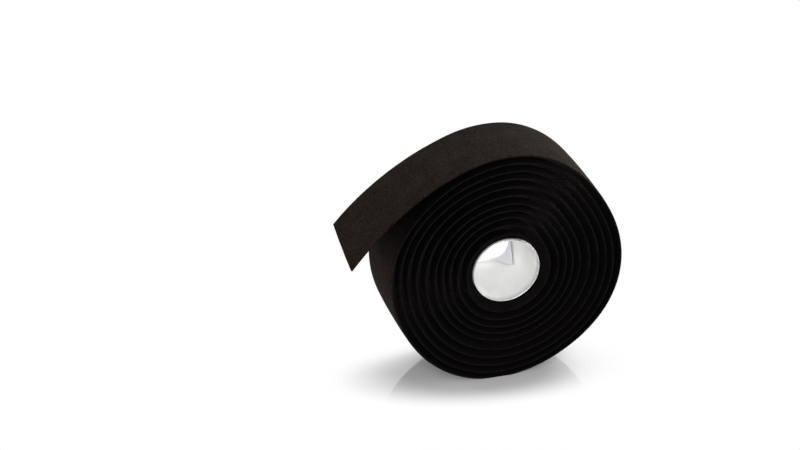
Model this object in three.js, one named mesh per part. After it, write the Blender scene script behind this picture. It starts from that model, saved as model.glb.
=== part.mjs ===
// Roll of handlebar tape, standing on its edge.
// Units are millimetres. The roll's axis runs along Y and +Z is up.
// The origin is the middle of the small flat spot that the roll stands on.
// Angles run anticlockwise from +X as seen from the front, where Y is lowest.
import * as THREE from 'three';

// The tape. Its outer face is flat, and its inner face is bevelled away along both edges.
const TAPE_WIDTH = 30;
const TAPE_THICKNESS = 2.45;
const EDGE_THICKNESS = 0.75;
const BEVEL_WIDTH = 4.6;
const CORNER_WIDTH = 0.7;
const CORNER_DROP = 0.25;
const WINDING_GAP = 0.2;
// The innermost turn lies flat against the sleeve, and its bevel opens over the next angles
const BORE_BEVEL_WIDTH = 0.5;
const BEVEL_OPENS = 60;
// Where the tape is squeezed thin, its bevel and corner keep these shares of its thickness
const LEAST_UNDER_SHARE = 0.2;
const LEAST_CORNER_SHARE = 0.7;

// The winding: clear radius of the innermost turn, then how far each turn steps out
const WINDING_BORE_R = 13.35;
const TURN_STEPS = [4.1, 3.4, 2.95, 2.65, 2.8, 3.8, 3.35, 3.15, 2.85, 3.35];
const INNER_END_ANGLE = 51;
const LEAVING_ANGLE = 112;
// Every turn climbs over the tape's inner end, then settles on the far side
const CLIMB_FROM = 26;
const CLIMB_TO = 84;
const CLIMB_SHARE = 0.62;
const SETTLE_FROM = 180;
const SETTLE_TO = 245;
// The last turn comes out from under the loose end, and is squeezed unevenly round the roll
const FREE_AFTER = 40;
const SQUEEZE = 0.5;
const SQUEEZE_ANGLE = 24;
const SQUEEZE_ENDS = 60;

// Softness: the outer turns are a little square and sag to one side
const LOBE_HEIGHT = 0.65;
const LOBE_ANGLE = -105;
const SAG = 0.55;
const SAG_ANGLE = -115;
const FLAT_SQUASH = 0.55;

// The loose outer end of the tape. Where it leaves the roll its front edge stands proud,
// and at its tip the front edge droops inwards.
const TAIL_LENGTH = 51.5;
const TAIL_CURVE_R = 104;
const TAIL_SLANT = 4;
const FRONT_LIFT = 0.6;
const FRONT_DROOP = 1.3;

// The sleeve in the bore: a thin strip rolled up with its ends overlapping
const SLEEVE_CLEARANCE = 0.3;
const SLEEVE_THICKNESS = 0.4;
const SLEEVE_LAP_GAP = 0.1;
const SLEEVE_LAP_ANGLE = 25;
const SLEEVE_SEAM_ANGLE = 40;

// Facets: degrees to a ring of the tape, and how many make the loose end and the sleeve
const FINE_STEP = 6;
const COARSE_STEP = 12;
const FINE_FROM_R = 24;
const TAIL_FACETS = 10;
const SLEEVE_FACETS = 66;

const TAPE_COLOUR = 0x26201d;
const SLEEVE_COLOUR = 0xe8e8e0;

const TURNS = TURN_STEPS.length;
const OUTER_R = WINDING_BORE_R + TURN_STEPS.reduce((sum, step) => sum + step, 0);
const LAST_ANGLE = 360 * TURNS + LEAVING_ANGLE;

const radians = THREE.MathUtils.degToRad;
const smooth = THREE.MathUtils.smoothstep;

// Share of a turn's step that has been climbed at an angle within the turn
function climbed(angle) {
  const climb = CLIMB_SHARE * smooth(angle, CLIMB_FROM, CLIMB_TO);
  return climb + (1 - CLIMB_SHARE) * smooth(angle, SETTLE_FROM, SETTLE_TO);
}

// Radius of the tape's inner face after winding through an angle
function innerRadius(angle) {
  const turn = Math.floor(angle / 360);
  let radius = WINDING_BORE_R;
  for (let i = 0; i < Math.min(turn - 1, TURNS); i += 1) {
    radius += TURN_STEPS[i];
  }
  if (turn >= 1) {
    const step = TURN_STEPS[Math.min(turn, TURNS) - 1];
    radius += step * climbed(angle - 360 * turn);
  }
  const share = ((radius - WINDING_BORE_R) / (OUTER_R - WINDING_BORE_R)) ** 2;
  const lobe = LOBE_HEIGHT * Math.cos(radians(4 * (angle - LOBE_ANGLE)));
  const sag = SAG * Math.cos(radians(angle - SAG_ANGLE));
  return radius + share * (lobe + sag);
}

// The turns inside the roll fill the room under the next one. The last turn has nothing over it.
function tapeThickness(angle) {
  const room = innerRadius(angle + 360) - innerRadius(angle) - WINDING_GAP;
  const free = smooth(angle, LAST_ANGLE - 360, LAST_ANGLE - 360 + FREE_AFTER);
  const held = 1 - smooth(angle, LAST_ANGLE - SQUEEZE_ENDS, LAST_ANGLE);
  const squeeze = SQUEEZE * held * Math.cos(radians(2 * (angle - SQUEEZE_ANGLE)));
  return THREE.MathUtils.lerp(room, TAPE_THICKNESS + squeeze, free);
}

const BOTTOM_ANGLE = 360 * TURNS - 90;
const AXIS_HEIGHT = innerRadius(BOTTOM_ANGLE) + tapeThickness(BOTTOM_ANGLE) - FLAT_SQUASH;

function bevelWidth(angle) {
  const innermost = INNER_END_ANGLE + 360;
  const opened = smooth(angle, innermost, innermost + BEVEL_OPENS);
  return THREE.MathUtils.lerp(BORE_BEVEL_WIDTH, BEVEL_WIDTH, opened);
}

// Section of the tape as pairs of y and height over its inner face
function tapeSection(thickness, bevel) {
  const half = TAPE_WIDTH / 2;
  const under = Math.max(thickness - EDGE_THICKNESS, LEAST_UNDER_SHARE * thickness);
  const corner = Math.max(thickness - CORNER_DROP, LEAST_CORNER_SHARE * thickness);
  return [
    [bevel - half, 0],
    [half - bevel, 0],
    [half, under],
    [half, corner],
    [half - CORNER_WIDTH, thickness],
    [CORNER_WIDTH - half, thickness],
    [-half, corner],
    [-half, under],
  ];
}

// One at the front edge of the tape, nothing at its back edge
function frontShare(y) {
  return 0.5 - y / TAPE_WIDTH;
}

// A closed solid through rings of points that all run the same way round
function solidThrough(rings) {
  const positions = [];
  const indices = [];
  const size = rings[0].length;
  for (const ring of rings) {
    for (const point of ring) {
      positions.push(point.x, point.y, point.z);
    }
  }
  for (let i = 0; i + 1 < rings.length; i += 1) {
    for (let j = 0; j < size; j += 1) {
      const k = (j + 1) % size;
      const a = i * size + j;
      const b = i * size + k;
      indices.push(a, b + size, b);
      indices.push(a, a + size, b + size);
    }
  }
  const last = (rings.length - 1) * size;
  for (let j = 1; j + 1 < size; j += 1) {
    indices.push(0, j, j + 1);
    indices.push(last, last + j + 1, last + j);
  }
  const geometry = new THREE.BufferGeometry();
  geometry.setAttribute('position', new THREE.Float32BufferAttribute(positions, 3));
  geometry.setIndex(indices);
  const flat = geometry.toNonIndexed();
  flat.computeVertexNormals();
  return flat;
}

// One ring of the wound tape. The outer face stops at the surface the roll stands on.
function woundRing(angle) {
  const radius = innerRadius(angle);
  const cos = Math.cos(radians(angle));
  const sin = Math.sin(radians(angle));
  const floorRadius = sin < 0 ? -AXIS_HEIGHT / sin : Infinity;
  const lift = FRONT_LIFT * smooth(angle, LAST_ANGLE - SQUEEZE_ENDS, LAST_ANGLE);
  return tapeSection(tapeThickness(angle), bevelWidth(angle)).map(([y, depth]) => {
    const r = Math.min(radius + depth + lift * frontShare(y), floorRadius);
    return new THREE.Vector3(r * cos, y, AXIS_HEIGHT + r * sin);
  });
}

// One ring of the loose end, a distance along it. Only its last ring is cut at a slant.
function tailRing(distance, slant) {
  const radius = innerRadius(LAST_ANGLE);
  const leaving = radians(LAST_ANGLE);
  const turned = leaving + distance / TAIL_CURVE_R;
  const centre = new THREE.Vector2(Math.cos(leaving), Math.sin(leaving))
    .multiplyScalar(radius - TAIL_CURVE_R);
  const outward = new THREE.Vector2(Math.cos(turned), Math.sin(turned));
  const along = new THREE.Vector2(-outward.y, outward.x);
  const droop = (FRONT_LIFT + FRONT_DROOP) * smooth(distance, 0, TAIL_LENGTH);
  return tapeSection(TAPE_THICKNESS, BEVEL_WIDTH).map(([y, depth]) => {
    const reach = TAIL_CURVE_R + depth + (FRONT_LIFT - droop) * frontShare(y);
    const point = outward.clone().multiplyScalar(reach).add(centre);
    point.addScaledVector(along, -slant * y / TAPE_WIDTH);
    return new THREE.Vector3(point.x, y, AXIS_HEIGHT + point.y);
  });
}

// The wound tape with its loose end
function tapeRoll() {
  const rings = [];
  let angle = INNER_END_ANGLE;
  while (angle < LAST_ANGLE) {
    rings.push(woundRing(angle));
    angle += innerRadius(angle) < FINE_FROM_R ? COARSE_STEP : FINE_STEP;
  }
  for (let i = 0; i <= TAIL_FACETS; i += 1) {
    const slant = i === TAIL_FACETS ? TAIL_SLANT : 0;
    rings.push(tailRing(TAIL_LENGTH * i / TAIL_FACETS, slant));
  }
  return solidThrough(rings);
}

// The sleeve that lines the bore
function coreSleeve() {
  const half = TAPE_WIDTH / 2;
  const layer = SLEEVE_THICKNESS + SLEEVE_LAP_GAP;
  const sweep = 360 + SLEEVE_LAP_ANGLE;
  const outer = WINDING_BORE_R - SLEEVE_CLEARANCE;
  const start = outer - SLEEVE_THICKNESS - layer * sweep / 360;
  const rings = [];
  for (let i = 0; i <= SLEEVE_FACETS; i += 1) {
    const swept = sweep * i / SLEEVE_FACETS;
    const turned = radians(SLEEVE_SEAM_ANGLE + swept);
    const radius = start + layer * swept / 360;
    const section = [
      [-half, 0],
      [half, 0],
      [half, SLEEVE_THICKNESS],
      [-half, SLEEVE_THICKNESS],
    ];
    rings.push(section.map(([y, depth]) => new THREE.Vector3(
      (radius + depth) * Math.cos(turned),
      y,
      AXIS_HEIGHT + (radius + depth) * Math.sin(turned),
    )));
  }
  return solidThrough(rings);
}

const group = new THREE.Group();
group.name = 'handlebar_tape_roll';

const tape = new THREE.Mesh(
  tapeRoll(),
  new THREE.MeshStandardMaterial({ color: TAPE_COLOUR, roughness: 0.85, metalness: 0 }),
);
tape.name = 'tape_roll';
group.add(tape);

const sleeve = new THREE.Mesh(
  coreSleeve(),
  new THREE.MeshStandardMaterial({ color: SLEEVE_COLOUR, roughness: 0.35, metalness: 0 }),
);
sleeve.name = 'core_sleeve';
group.add(sleeve);

export default group;
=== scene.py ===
import math

import bmesh
import bpy
from mathutils import Matrix, Vector, noise


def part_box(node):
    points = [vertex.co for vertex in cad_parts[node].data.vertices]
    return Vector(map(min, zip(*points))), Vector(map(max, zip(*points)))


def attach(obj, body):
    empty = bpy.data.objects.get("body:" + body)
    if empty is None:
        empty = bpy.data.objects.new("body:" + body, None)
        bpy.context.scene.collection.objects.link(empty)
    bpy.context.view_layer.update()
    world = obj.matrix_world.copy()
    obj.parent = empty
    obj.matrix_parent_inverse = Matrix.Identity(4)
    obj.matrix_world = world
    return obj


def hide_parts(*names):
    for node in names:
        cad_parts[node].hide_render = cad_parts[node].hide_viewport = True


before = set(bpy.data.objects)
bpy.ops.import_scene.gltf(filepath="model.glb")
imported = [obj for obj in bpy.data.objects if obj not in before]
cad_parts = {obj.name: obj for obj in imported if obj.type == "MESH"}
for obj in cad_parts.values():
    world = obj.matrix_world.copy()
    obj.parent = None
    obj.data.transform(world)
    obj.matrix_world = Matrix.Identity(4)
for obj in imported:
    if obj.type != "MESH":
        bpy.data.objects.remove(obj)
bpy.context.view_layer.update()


# The camera stands at the front left and looks down on the roll through a long lens.
# Its place is measured from the middle of the bore, along the picture's own directions.
# Sizes are in millimetres and angles in degrees, and the studio's lengths are in metres.
MM = 0.001
CAMERA_AZIMUTH = -16.69
CAMERA_ELEVATION = 27.55
CAMERA_DISTANCE = 969.9
PICTURE_RIGHT = 35.07
PICTURE_UP = -10.53
LENS = 117.0
SENSOR_WIDTH = 36.0
CLIP_START = 50
CLIP_END = 20000
sleeve_low, sleeve_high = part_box("core_sleeve")
bore_middle = Vector((0, 0, (sleeve_low.z + sleeve_high.z) / 2))

azimuth = math.radians(CAMERA_AZIMUTH)
elevation = math.radians(CAMERA_ELEVATION)
camera_back = Vector((
    math.sin(azimuth) * math.cos(elevation),
    -math.cos(azimuth) * math.cos(elevation),
    math.sin(elevation),
))
camera_right = Vector((math.cos(azimuth), math.sin(azimuth), 0))
camera_up = camera_back.cross(camera_right)
offset = camera_back * CAMERA_DISTANCE - camera_right * PICTURE_RIGHT - camera_up * PICTURE_UP

camera_data = bpy.data.cameras.new("camera")
camera_data.lens = LENS
camera_data.sensor_width = SENSOR_WIDTH
camera_data.clip_start = CLIP_START * MM
camera_data.clip_end = CLIP_END * MM
camera = bpy.data.objects.new("camera", camera_data)
bpy.context.scene.collection.objects.link(camera)
turn = Matrix((camera_right, camera_up, camera_back)).transposed()
camera.matrix_world = Matrix.Translation(bore_middle + offset * MM) @ turn.to_4x4()
bpy.context.scene.camera = camera


# The tape: a soft foam strip with a flat suede-like skin outside, its foam bevelled away on
# the inside along both edges, so that each edge is thin. It is wound on itself from the inside
# out, every turn climbing over the inner end, and its outer end lifts off the top of the roll.
TAPE_WIDTH = 30
TAPE_THICKNESS = 2.45
EDGE_THICKNESS = 0.75
LEAST_UNDER_SHARE = 0.2
BEVEL_WIDTH = 4.6
BORE_BEVEL_WIDTH = 0.5
BEVEL_OPENS = 60
BEVEL_FOOT = 0.4
BEVEL_STEPS = 8
BEVEL_CURVE = 1.15
BEVEL_END_INSET = 0.1
BEVEL_LIP, BEVEL_LIP_FROM = 0.55, 0.8
INNER_FACE_INSETS = (15, 12.5, 10, 8, 6)
OUTER_FACE_INSETS = (2.4, 4.5, 7, 9.5, 12, 15)
# Inset, share of the edge's thickness, rise from there, skin share and lip share
EDGE_POINTS = [
    (0.02, 0, 0.08, 0.1, 1),
    (0, 0.3, 0, 0.3, 1),
    (0, 1, -0.34, 0.6, 1),
    (0.05, 1, -0.22, 0.9, 0.8),
    (0.2, 1, -0.12, 1, 0.4),
    (0.5, 1, -0.07, 1, 0.1),
    (1.2, 1, -0.03, 1, 0),
]
SWELL, SWELL_FROM, SWELL_TO = 0.18, 3, 9
WINDING_GAP = 0.2
WINDING_BORE_R = 13.35
TURN_STEPS = [4.1, 3.4, 2.95, 2.65, 2.8, 3.8, 3.35, 3.15, 2.85, 3.35]
INNER_END_ANGLE = 51
LEAVING_ANGLE = 112
CLIMB_FROM, CLIMB_TO, CLIMB_SHARE = 26, 84, 0.62
SETTLE_FROM, SETTLE_TO = 180, 245
FREE_AFTER = 40
SQUEEZE, SQUEEZE_ANGLE, SQUEEZE_ENDS = 0.5, 24, 60
SQUEEZED_SIDES = 2
LOBES, LOBE_HEIGHT, LOBE_ANGLE = 4, 0.65, -105
SAG, SAG_ANGLE = 0.55, -115
FLAT_SQUASH = 0.55
TAIL_LENGTH = 51.5
TAIL_CURVE_R = 104
TAIL_SLANT, TAIL_SLANT_FROM = 4, 0.2
FRONT_LIFT = 0.6
FRONT_DROOP = 1.3
EDGE_WANDER, WANDERS_PER_DEGREE, WANDER_SEED = 0.22, 0.011, 3.1
RIPPLE, RIPPLES_PER_WANDER, RIPPLES_PER_MM_ACROSS, RIPPLE_SEED = 0.05, 9, 0.16, 8.4
TAIL_RIPPLES_PER_MM, TAIL_RIPPLE_SEED = 0.2, 5.7
# Painted shade: the skin colour of the inner turns, and of the turn under the loose end, fades
# towards the foam's black. It keeps only this share, and is full again between these angles, counted
# from where the tape leaves the roll.
SHADED_SKIN_SHARE = 0.3
UNSHADED_FROM, UNSHADED_TO = -335, -285
COARSE_STEP, FINE_STEP, FINE_FROM_R = 3, 2, 24
TAIL_RINGS = 36
SHARP_ANGLE = 55
TURNS = len(TURN_STEPS)
OUTER_R = WINDING_BORE_R + sum(TURN_STEPS)
LAST_ANGLE = 360 * TURNS + LEAVING_ANGLE


def smooth(value, low, high):
    share = min(max((value - low) / (high - low), 0), 1)
    return share * share * (3 - 2 * share)


def climbed(angle):
    """Share of a turn's step that has been climbed at an angle within the turn."""
    climb = CLIMB_SHARE * smooth(angle, CLIMB_FROM, CLIMB_TO)
    return climb + (1 - CLIMB_SHARE) * smooth(angle, SETTLE_FROM, SETTLE_TO)


def inner_radius(angle):
    done = math.floor(angle / 360)
    radius = WINDING_BORE_R + sum(TURN_STEPS[:max(min(done - 1, TURNS), 0)])
    if done >= 1:
        radius += TURN_STEPS[min(done, TURNS) - 1] * climbed(angle - 360 * done)
    share = ((radius - WINDING_BORE_R) / (OUTER_R - WINDING_BORE_R)) ** 2
    lobe = LOBE_HEIGHT * math.cos(math.radians(LOBES * (angle - LOBE_ANGLE)))
    sag = SAG * math.cos(math.radians(angle - SAG_ANGLE))
    return radius + share * (lobe + sag)


def tape_thickness(angle):
    """The inner turns fill the room under the next one, and the last turn has nothing over it."""
    room = inner_radius(angle + 360) - inner_radius(angle) - WINDING_GAP
    free = smooth(angle, LAST_ANGLE - 360, LAST_ANGLE - 360 + FREE_AFTER)
    held = 1 - smooth(angle, LAST_ANGLE - SQUEEZE_ENDS, LAST_ANGLE)
    squeeze = SQUEEZE * held * math.cos(math.radians(SQUEEZED_SIDES * (angle - SQUEEZE_ANGLE)))
    return room + (TAPE_THICKNESS + squeeze - room) * free


BOTTOM_ANGLE = 360 * TURNS - 90
axis_height = inner_radius(BOTTOM_ANGLE) + tape_thickness(BOTTOM_ANGLE) - FLAT_SQUASH


def bevel_width(angle):
    """The innermost turn lies flat against the sleeve, so it has next to no bevel."""
    innermost = INNER_END_ANGLE + 360
    opened = smooth(angle, innermost, innermost + BEVEL_OPENS)
    return BORE_BEVEL_WIDTH + (BEVEL_WIDTH - BORE_BEVEL_WIDTH) * opened


def half_section(thickness, bevel):
    """Inset from the edge, depth, skin share and lip share, from the inner face outwards."""
    under = max(thickness - EDGE_THICKNESS, LEAST_UNDER_SHARE * thickness)
    points = [(inset, 0, 0, 0) for inset in (*INNER_FACE_INSETS, bevel + BEVEL_FOOT)]
    for step in range(BEVEL_STEPS + 1):
        share = step / BEVEL_STEPS
        inset = bevel * (1 - share) + BEVEL_END_INSET * share
        lip = BEVEL_LIP * smooth(share, BEVEL_LIP_FROM, 1)
        points.append((inset, under * share ** BEVEL_CURVE, 0, lip))
    for inset, share, rise, skin, lip in EDGE_POINTS:
        points.append((inset, under + share * (thickness - under) + rise, skin, lip))
    for inset in OUTER_FACE_INSETS:
        points.append((inset, thickness + SWELL * smooth(inset, SWELL_FROM, SWELL_TO), 1, 0))
    return points


def tape_section(thickness, bevel):
    """The closed section: y, depth, skin share and lip share of each point."""
    half = half_section(thickness, bevel)
    front = [(inset - TAPE_WIDTH / 2, *rest) for inset, *rest in half]
    back = [(TAPE_WIDTH / 2 - inset, *rest) for inset, *rest in half[1:-1]]
    return front + back[::-1]


def front_share(y):
    """One at the front edge of the tape, nothing at its back edge."""
    return 0.5 - y / TAPE_WIDTH


def wound_ring(angle):
    """One ring of the wound tape. Its outer face stops at the surface the roll stands on."""
    radius = inner_radius(angle)
    cos = math.cos(math.radians(angle))
    sin = math.sin(math.radians(angle))
    floor_radius = -axis_height / sin if sin < 0 else math.inf
    along = angle * WANDERS_PER_DEGREE
    freed = smooth(angle, LAST_ANGLE - SQUEEZE_ENDS, LAST_ANGLE)
    wander = EDGE_WANDER * (1 - freed) * noise.noise(Vector((along, 0, WANDER_SEED)))
    # Painted shade: the skin's share is lowered in the winding and under the loose end
    unshaded = smooth(angle, LAST_ANGLE + UNSHADED_FROM, LAST_ANGLE + UNSHADED_TO)
    painted_shade_factor = SHADED_SKIN_SHARE + (1 - SHADED_SKIN_SHARE) * unshaded
    ring = []
    for y, depth, skin, lip in tape_section(tape_thickness(angle), bevel_width(angle)):
        spot = Vector((along * RIPPLES_PER_WANDER, y * RIPPLES_PER_MM_ACROSS, RIPPLE_SEED))
        ripple = RIPPLE * noise.noise(spot) * skin
        lift = FRONT_LIFT * freed * front_share(y)
        r = min(radius + depth + ripple + lift, floor_radius)
        ring.append(((r * cos, y + wander, axis_height + r * sin), skin * painted_shade_factor, lip))
    return ring


def tail_ring(distance, slant):
    """One ring of the loose end, a distance along it, leaning with the slant of its cut."""
    radius = inner_radius(LAST_ANGLE)
    leaving = math.radians(LAST_ANGLE)
    turned = leaving + distance / TAIL_CURVE_R
    centre = Vector((math.cos(leaving), math.sin(leaving))) * (radius - TAIL_CURVE_R)
    outward = Vector((math.cos(turned), math.sin(turned)))
    along = Vector((-outward.y, outward.x))
    droop = (FRONT_LIFT + FRONT_DROOP) * smooth(distance, 0, TAIL_LENGTH)
    ring = []
    for y, depth, skin, lip in tape_section(TAPE_THICKNESS, BEVEL_WIDTH):
        spot = Vector((distance * TAIL_RIPPLES_PER_MM, y * RIPPLES_PER_MM_ACROSS, TAIL_RIPPLE_SEED))
        ripple = RIPPLE * noise.noise(spot) * skin
        lift = (FRONT_LIFT - droop) * front_share(y)
        point = centre + outward * (TAIL_CURVE_R + depth + ripple + lift)
        point -= along * (slant * y / TAPE_WIDTH)
        ring.append(((point.x, y, axis_height + point.y), skin, lip))
    return ring


def swept_solid(name, rings, labels):
    """A closed mesh through rings of a point in mm and its two labelled shares. UVs are in metres."""
    size = len(rings[0])
    points = [Vector(point) * MM for ring in rings for point, _, _ in ring]
    faces = [tuple(reversed(range(size))), tuple(range(len(points) - size, len(points)))]
    for i in range(len(rings) - 1):
        for j in range(size):
            a = i * size + j
            b = i * size + (j + 1) % size
            faces.append((a, b, b + size, a + size))
    mesh = bpy.data.meshes.new(name)
    mesh.from_pydata(points, [], faces)
    for index, label in enumerate(labels, 1):
        values = mesh.attributes.new(label, "FLOAT", "POINT")
        values.data.foreach_set("value", [entry[index] for ring in rings for entry in ring])
    along = [0.0]
    across = [0.0]
    for i in range(1, len(rings)):
        along.append(along[-1] + (points[i * size] - points[(i - 1) * size]).length)
    for j in range(1, size + 1):
        across.append(across[-1] + (points[j % size] - points[j - 1]).length)
    uv = mesh.uv_layers.new(name="along_and_across")
    for polygon in mesh.polygons[2:]:
        i, j = divmod(polygon.index - 2, size)
        corners = ((i, j), (i, j + 1), (i + 1, j + 1), (i + 1, j))
        for loop, (u, v) in zip(polygon.loop_indices, corners):
            uv.data[loop].uv = (along[u], across[v])
    mesh.polygons.foreach_set("use_smooth", [True] * len(mesh.polygons))
    mesh.set_sharp_from_angle(angle=math.radians(SHARP_ANGLE))
    mesh.validate()
    solid = bpy.data.objects.new(name, mesh)
    bpy.context.scene.collection.objects.link(solid)
    return solid


class Wire:
    """One socket of a material's nodes, which can be used in a sum."""

    COLOUR_A = 6
    COLOUR_B = 7
    COLOUR_RESULT = 2

    def __init__(self, tree, socket=None):
        self.tree = tree
        self.socket = socket

    def node(self, kind, settings, sockets, output=0):
        made = self.tree.nodes.new(kind)
        for name, value in settings.items():
            setattr(made, name, value)
        for name, value in sockets.items():
            if isinstance(value, Wire):
                self.tree.links.new(value.socket, made.inputs[name])
            else:
                made.inputs[name].default_value = value
        return Wire(self.tree, made.outputs[output]) if made.outputs else None

    def math(self, operation, first, second):
        return self.node("ShaderNodeMath", {"operation": operation}, {0: first, 1: second})

    def __add__(self, other):
        return self.math("ADD", self, other)

    __radd__ = __add__

    def __sub__(self, other):
        return self.math("SUBTRACT", self, other)

    def __rsub__(self, other):
        return self.math("SUBTRACT", other, self)

    def __mul__(self, other):
        return self.math("MULTIPLY", self, other)

    __rmul__ = __mul__

    def between(self, low, high):
        settings = {"interpolation_type": "SMOOTHSTEP"}
        sockets = {"Value": self, "From Min": low, "From Max": high}
        return self.node("ShaderNodeMapRange", settings, sockets)

    def mixed(self, first, second):
        settings = {"data_type": "RGBA"}
        sockets = {0: self, self.COLOUR_A: first, self.COLOUR_B: second}
        return self.node("ShaderNodeMix", settings, sockets, self.COLOUR_RESULT)


def new_material(name):
    material = bpy.data.materials.new(name)
    material.use_nodes = True
    material.node_tree.nodes.clear()
    return material, Wire(material.node_tree)


def finish_material(start, shader):
    start.node("ShaderNodeOutputMaterial", {}, {"Surface": shader})


SKIN_COLOUR = (0.0076, 0.0049, 0.0041, 1)
SKIN_PALE = (0.0315, 0.0217, 0.0188, 1)
FOAM_COLOUR = (0.0014, 0.0010, 0.0012, 1)
LIP_COLOUR = (0.0040, 0.0030, 0.0032, 1)
SHEEN_COLOUR = (1.0, 0.9, 0.84, 1)
GRAINS_PER_METRE = 1500
PORES_PER_METRE = 1500
MOTTLES_PER_METRE = 120
NAPS_PER_METRE = 700
GRAIN_RANGE = (0.37, 0.63)
MOTTLE_RANGE = (0.3, 0.7)
MOTTLE_SHARE = 0.35
SKIN_RANGE = (0.15, 1.0)
NAP_RANGE = (0.4, 0.62)
GLINT_LEAST, GLINT_NAP = 0.25, 0.9
GRAIN_HEIGHT, PORE_HEIGHT, NAP_HEIGHT = 0.55, 0.35, 0.5
GRAIN_DEPTH = 0.25
SKIN_ROUGHNESS, MOTTLE_ROUGHNESS = 0.72, 0.2

tape_material, start = new_material("foam_tape_skin")
place = start.node("ShaderNodeTexCoord", {}, {}, "Object")
skin = start.node("ShaderNodeAttribute", {"attribute_name": "skin"}, {}, "Fac")
lip = start.node("ShaderNodeAttribute", {"attribute_name": "lip"}, {}, "Fac")
grain = start.node("ShaderNodeTexNoise", {}, {
    "Vector": place, "Scale": GRAINS_PER_METRE, "Detail": 4,
})
pores = start.node("ShaderNodeTexVoronoi", {}, {"Vector": place, "Scale": PORES_PER_METRE})
mottle = start.node("ShaderNodeTexNoise", {}, {
    "Vector": place, "Scale": MOTTLES_PER_METRE, "Detail": 5,
})
nap = start.node("ShaderNodeTexNoise", {}, {
    "Vector": place, "Scale": NAPS_PER_METRE, "Detail": 2,
})
mixture = mottle.between(*MOTTLE_RANGE) * MOTTLE_SHARE
mixture = mixture + grain.between(*GRAIN_RANGE) * (1 - MOTTLE_SHARE)
skin_tone = mixture.mixed(SKIN_COLOUR, SKIN_PALE)
# The skin attribute also carries the painted shade of the winding, which fades the skin colour
# towards the foam's black
skinned = skin.between(*SKIN_RANGE).mixed(FOAM_COLOUR, skin_tone)
glints = GLINT_LEAST + GLINT_NAP * nap.between(*NAP_RANGE)
height = grain * GRAIN_HEIGHT + pores * PORE_HEIGHT + nap * NAP_HEIGHT
bump = start.node("ShaderNodeBump", {}, {
    "Strength": 0.35, "Distance": GRAIN_DEPTH * MM, "Height": height,
})
shader = start.node("ShaderNodeBsdfPrincipled", {}, {
    "Base Color": (lip * glints).mixed(skinned, LIP_COLOUR),
    "Roughness": SKIN_ROUGHNESS + mottle * MOTTLE_ROUGHNESS,
    "Specular IOR Level": 0.03,
    "Sheen Weight": 0.012,
    "Sheen Roughness": 0.35,
    "Sheen Tint": SHEEN_COLOUR,
    "Normal": bump,
})
finish_material(start, shader)

rings = []
angle = INNER_END_ANGLE
while angle < LAST_ANGLE:
    rings.append(wound_ring(angle))
    angle += COARSE_STEP if inner_radius(angle) < FINE_FROM_R else FINE_STEP
for i in range(TAIL_RINGS + 1):
    share = i / TAIL_RINGS
    slant = TAIL_SLANT * smooth(share, TAIL_SLANT_FROM, 1)
    rings.append(tail_ring(TAIL_LENGTH * share, slant))
tape = swept_solid("wound_tape", rings, ("skin", "lip"))
tape.data.materials.append(tape_material)
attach(tape, "root")
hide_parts("tape_roll")


# The sleeve in the bore: a thin sheet of semi-gloss white plastic, cut to about the tape's width
# and rolled up inside the innermost turn, where it springs open until its ends overlap.
# One corner of it is folded in at the back and stands a little off the wall.
SLEEVE_CLEARANCE = 0.3
SLEEVE_THICKNESS = 0.4
SLEEVE_LAP_GAP = 0.1
SLEEVE_LAP_ANGLE = 25
SLEEVE_SEAM_ANGLE = 40
SLEEVE_BACK = 0.7
SLEEVE_LONGER, SLEEVE_LONGER_ANGLE, SLEEVE_LONGER_FROM = 1.5, -125, 0.2
SLEEVE_ROUNDING = 0.1
RIM_SHADE_DEPTH = 0.2
SLEEVE_ROWS = (-12, -9, -6, -3, 0, 3, 6, 9, 12)
SLEEVE_FACETS = 220
SLEEVE_WAVE, WAVES_ROUND, WAVES_PER_MM = 0.06, 2, 0.07
FLAP_FROM, FLAP_TO, FLAP_APEX = -69, -18, -43
FLAP_REACH, FLAP_LEAST_REACH = 11.0, 0.1
FLAP_THICKNESS = 0.15
FLAP_OFF_WALL, FLAP_CURL = 0.12, 1.6
FLAP_START = 0.05
FLAP_FOLD, FLAP_FOLD_SHARE = 2.0, 0.5
FLAP_FACETS = 60
# Share of the flap's reach and share of its thickness
FLAP_SECTION = [(0, 0), (0.25, 0), (0.5, 0), (0.75, 0), (1, 0), (1, 1), (0.5, 1), (0, 1)]


def fold_depth(angle):
    """How far the fold lies in from the sheet's back edge, at an angle."""
    share = min(max((angle - FLAP_FROM) / (FLAP_TO - FLAP_FROM), 0), 1)
    return FLAP_FOLD * math.sin(math.pi * share)


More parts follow.
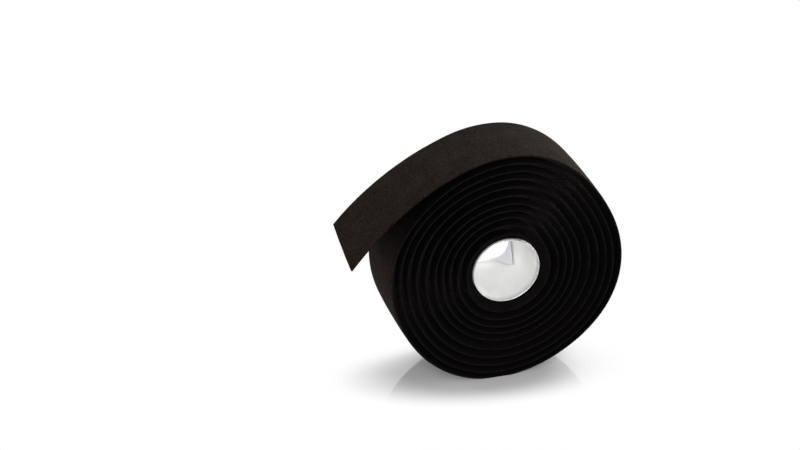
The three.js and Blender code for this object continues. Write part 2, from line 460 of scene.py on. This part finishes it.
def sleeve_rings():
    """The rolled sheet, whose second share marks its front edge, where shade is painted into the
    colour.
    """
    half = TAPE_WIDTH / 2
    layer = SLEEVE_THICKNESS + SLEEVE_LAP_GAP
    sweep = 360 + SLEEVE_LAP_ANGLE
    outer = WINDING_BORE_R - SLEEVE_CLEARANCE
    start_radius = outer - SLEEVE_THICKNESS - layer * sweep / 360
    last_row = half - SLEEVE_ROUNDING
    inner = [(y, 0) for y in (-last_row, *SLEEVE_ROWS, last_row)]
    outward = [(-y, SLEEVE_THICKNESS) for y, _ in inner]
    ends = [(half, SLEEVE_ROUNDING), (half, SLEEVE_THICKNESS - SLEEVE_ROUNDING)]
    section = inner + ends + outward + [(-y, SLEEVE_THICKNESS - depth) for y, depth in ends]
    made = []
    for i in range(SLEEVE_FACETS + 1):
        swept = sweep * i / SLEEVE_FACETS
        turned = math.radians(SLEEVE_SEAM_ANGLE + swept)
        cos = math.cos(turned)
        sin = math.sin(turned)
        away = turned - math.radians(SLEEVE_LONGER_ANGLE)
        longer = SLEEVE_LONGER * smooth(math.cos(away), SLEEVE_LONGER_FROM, 1)
        longer -= fold_depth(math.degrees(turned) - 360)
        ring = []
        for y, depth in section:
            spot = Vector((cos * WAVES_ROUND, sin * WAVES_ROUND, y * WAVES_PER_MM))
            wave = SLEEVE_WAVE * noise.noise(spot)
            radius = start_radius + layer * swept / 360 + depth + wave
            back = y + SLEEVE_BACK + longer * max(y, 0) / half
            # Painted shade along the sheet's front edge, which is drawn grey
            shaded_rim = 1 if y < RIM_SHADE_DEPTH - half else 0
            ring.append(((radius * cos, back, axis_height + radius * sin), 0, shaded_rim))
        made.append(ring)
    return made


def flap_rings():
    """The folded corner: a triangle from the fold forward, a little off the wall."""
    wall = WINDING_BORE_R - SLEEVE_CLEARANCE - 2 * SLEEVE_THICKNESS - SLEEVE_LAP_GAP
    made = []
    for i in range(FLAP_FACETS + 1):
        angle = FLAP_FROM + (FLAP_TO - FLAP_FROM) * i / FLAP_FACETS
        end = FLAP_FROM if angle < FLAP_APEX else FLAP_TO
        folded = fold_depth(angle)
        back = TAPE_WIDTH / 2 + SLEEVE_BACK - folded
        reach = FLAP_LEAST_REACH + FLAP_REACH * (angle - end) / (FLAP_APEX - end)
        reach -= FLAP_FOLD_SHARE * folded
        cos = math.cos(math.radians(angle))
        sin = math.sin(math.radians(angle))
        ring = []
        for share, depth in FLAP_SECTION:
            off_wall = FLAP_OFF_WALL * (1 + FLAP_CURL * share * reach / FLAP_REACH)
            radius = wall - off_wall - FLAP_THICKNESS * (1 - depth)
            y = back - FLAP_START - reach * share
            ring.append(((radius * cos, y, axis_height + radius * sin), 1, 0))
        made.append(ring[::-1])
    return made


SLEEVE_WHITE = (0.96, 0.96, 0.945, 1)
SLEEVE_SHADE = (0.92, 0.915, 0.90, 1)
# Painted shade: the sheet's front edge is drawn grey, though it is the same white plastic
SLEEVE_RIM_SHADE = (0.42, 0.42, 0.42, 1)
# Painted shade: the folded corner is the same white sheet, drawn greyer and bluer
FLAP_SHADE_COLOUR = (0.80, 0.80, 0.86, 1)
CLOUDS_PER_METRE = 160
FIBRES_PER_METRE = 1800
CLOUD_RANGE = (0.35, 0.7)
CLOUD_HEIGHT, FIBRE_HEIGHT = 0.7, 0.3
SHEET_DEPTH = 0.2
SLEEVE_ROUGHNESS, CLOUD_ROUGHNESS = 0.12, 0.12

sleeve_material, start = new_material("white_sleeve_sheet")
place = start.node("ShaderNodeTexCoord", {}, {}, "Object")
flap = start.node("ShaderNodeAttribute", {"attribute_name": "flap"}, {}, "Fac")
shaded_rim = start.node("ShaderNodeAttribute", {"attribute_name": "shaded_rim"}, {}, "Fac")
cloud = start.node("ShaderNodeTexNoise", {}, {
    "Vector": place, "Scale": CLOUDS_PER_METRE, "Detail": 4,
})
fibre = start.node("ShaderNodeTexNoise", {}, {
    "Vector": place, "Scale": FIBRES_PER_METRE, "Detail": 2,
})
height = cloud * CLOUD_HEIGHT + fibre * FIBRE_HEIGHT
bump = start.node("ShaderNodeBump", {}, {
    "Strength": 0.12, "Distance": SHEET_DEPTH * MM, "Height": height,
})
sheet = cloud.between(*CLOUD_RANGE).mixed(SLEEVE_WHITE, SLEEVE_SHADE)
shader = start.node("ShaderNodeBsdfPrincipled", {}, {
    # Painted shade: the front edge and the folded corner are drawn greyer than the sheet
    "Base Color": shaded_rim.mixed(flap.mixed(sheet, FLAP_SHADE_COLOUR), SLEEVE_RIM_SHADE),
    "Roughness": SLEEVE_ROUGHNESS + cloud * CLOUD_ROUGHNESS,
    "IOR": 1.65,
    "Specular IOR Level": 1.0,
    "Normal": bump,
})
finish_material(start, shader)

sleeve = swept_solid("rolled_sleeve", sleeve_rings(), ("flap", "shaded_rim"))
loose_corner = swept_solid("loose_corner", flap_rings(), ("flap", "shaded_rim"))
both = bmesh.new()
both.from_mesh(sleeve.data)
both.from_mesh(loose_corner.data)
both.to_mesh(sleeve.data)
both.free()
bpy.data.objects.remove(loose_corner)
sleeve.data.materials.append(sleeve_material)
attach(sleeve, "root")
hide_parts("core_sleeve")


# The studio: a sheet of white acrylic that mirrors a little and fades to plain white round the
# roll's shadow, a large soft lamp over the right of the roll and one low in front of it, weaker
# lamps all round, and a white room that is brighter at the right and at the back.
FLOOR_HALF = 3.0
FLOOR_DROP = 0.00005
FLOOR_WHITE = (0.86, 0.86, 0.86, 1)
FLOOR_BOUNCE = (0.45, 0.45, 0.45, 1)
PLAIN_WHITE = (1, 1, 1, 1)
SHADE_MIDDLE = (-0.0060, -0.0095, 0)
SHADE_REACH_X, SHADE_REACH_Y = 0.060, 0.027
SHADE_TURN = azimuth / 2
FADE_FROM = 0.44

floor_mesh = bpy.data.meshes.new("floor")
sides = ((-1, -1), (1, -1), (1, 1), (-1, 1))
floor_mesh.from_pydata([(x * FLOOR_HALF, y * FLOOR_HALF, 0) for x, y in sides], [], [(0, 1, 2, 3)])
floor = bpy.data.objects.new("floor", floor_mesh)
bpy.context.scene.collection.objects.link(floor)
floor.location.z = -FLOOR_DROP
floor.rotation_euler.z = SHADE_TURN

floor_material, start = new_material("white_acrylic")
place = start.node("ShaderNodeTexCoord", {}, {}, "Object")
seen = start.node("ShaderNodeLightPath", {}, {}, "Is Camera Ray")
acrylic = start.node("ShaderNodeBsdfPrincipled", {}, {
    "Base Color": seen.mixed(FLOOR_BOUNCE, FLOOR_WHITE),
    "Roughness": 0.04,
    "IOR": 1.7,
    "Specular IOR Level": 1.0,
})
# Outside an ellipse round the shadow the camera sees plain white
moved = start.node("ShaderNodeVectorMath", {"operation": "SUBTRACT"}, {0: place, 1: SHADE_MIDDLE})
scaled = start.node("ShaderNodeVectorMath", {"operation": "MULTIPLY"}, {
    0: moved, 1: (1 / SHADE_REACH_X, 1 / SHADE_REACH_Y, 0),
})
distance = start.node("ShaderNodeVectorMath", {"operation": "LENGTH"}, {0: scaled}, "Value")
white = start.node("ShaderNodeEmission", {}, {"Color": PLAIN_WHITE, "Strength": 1.0})
faded = seen * distance.between(FADE_FROM, 1)
shader = start.node("ShaderNodeMixShader", {}, {0: faded, 1: acrylic, 2: white})
finish_material(start, shader)
floor_mesh.materials.append(floor_material)

LAMP_TARGET = Vector((0, 0, 0.04))
# Name, place and width in metres, and power in watts
LAMPS = [
    ("overhead_softbox", (0.65, 0.25, 0.85), 0.7, 7.0),
    ("front_softbox", (0.05, -1.0, 0.13), 0.5, 10.5),
    ("high_front_lamp", (-0.3, -0.8, 0.75), 0.4, 2.0),
    ("left_lamp", (-0.65, -0.7, 0.25), 0.4, 1.3),
    ("right_lamp", (0.95, -0.5, 0.2), 0.4, 4.2),
    ("back_lamp", (-0.85, 0.6, 0.4), 0.5, 2.4),
]
for name, position, size, power in LAMPS:
    lamp_data = bpy.data.lights.new(name, "AREA")
    lamp_data.shape = "DISK"
    lamp_data.size = size
    lamp_data.energy = power
    lamp = bpy.data.objects.new(name, lamp_data)
    bpy.context.scene.collection.objects.link(lamp)
    lamp.location = position
    lamp.rotation_euler = (Vector(position) - LAMP_TARGET).to_track_quat("Z", "Y").to_euler()

# How bright the room is at its darkest, and how much brighter at the right and at the back
ROOM_LEVEL, ROOM_RIGHT, ROOM_BACK = 0.06, 0.32, 0.1
MIRRORED_LEVEL, MIRRORED_BACK = 0.1, 0.9
RIGHT_RANGE = (-0.8, 0.8)
BACK_RANGE = (-0.2, 0.7)
MIRRORED_RANGE = (-0.1, 0.4)

world = bpy.data.worlds.new("white_room")
bpy.context.scene.world = world
world.use_nodes = True
world.node_tree.nodes.clear()
start = Wire(world.node_tree)
seen = start.node("ShaderNodeLightPath", {}, {}, "Is Camera Ray")
glossy = start.node("ShaderNodeLightPath", {}, {}, "Is Glossy Ray")
toward = start.node("ShaderNodeTexCoord", {}, {}, "Generated")
right = start.node("ShaderNodeSeparateXYZ", {}, {"Vector": toward}, "X")
back = start.node("ShaderNodeSeparateXYZ", {}, {"Vector": toward}, "Y")
room = ROOM_LEVEL + ROOM_RIGHT * right.between(*RIGHT_RANGE) + ROOM_BACK * back.between(*BACK_RANGE)
mirrored = MIRRORED_LEVEL + MIRRORED_BACK * back.between(*MIRRORED_RANGE)
lit = room + glossy * (mirrored - room)
strength = lit + seen * (1 - lit)
background = start.node("ShaderNodeBackground", {}, {"Color": PLAIN_WHITE, "Strength": strength})
start.node("ShaderNodeOutputWorld", {}, {"Surface": background})

bpy.context.scene.view_settings.view_transform = "Standard"
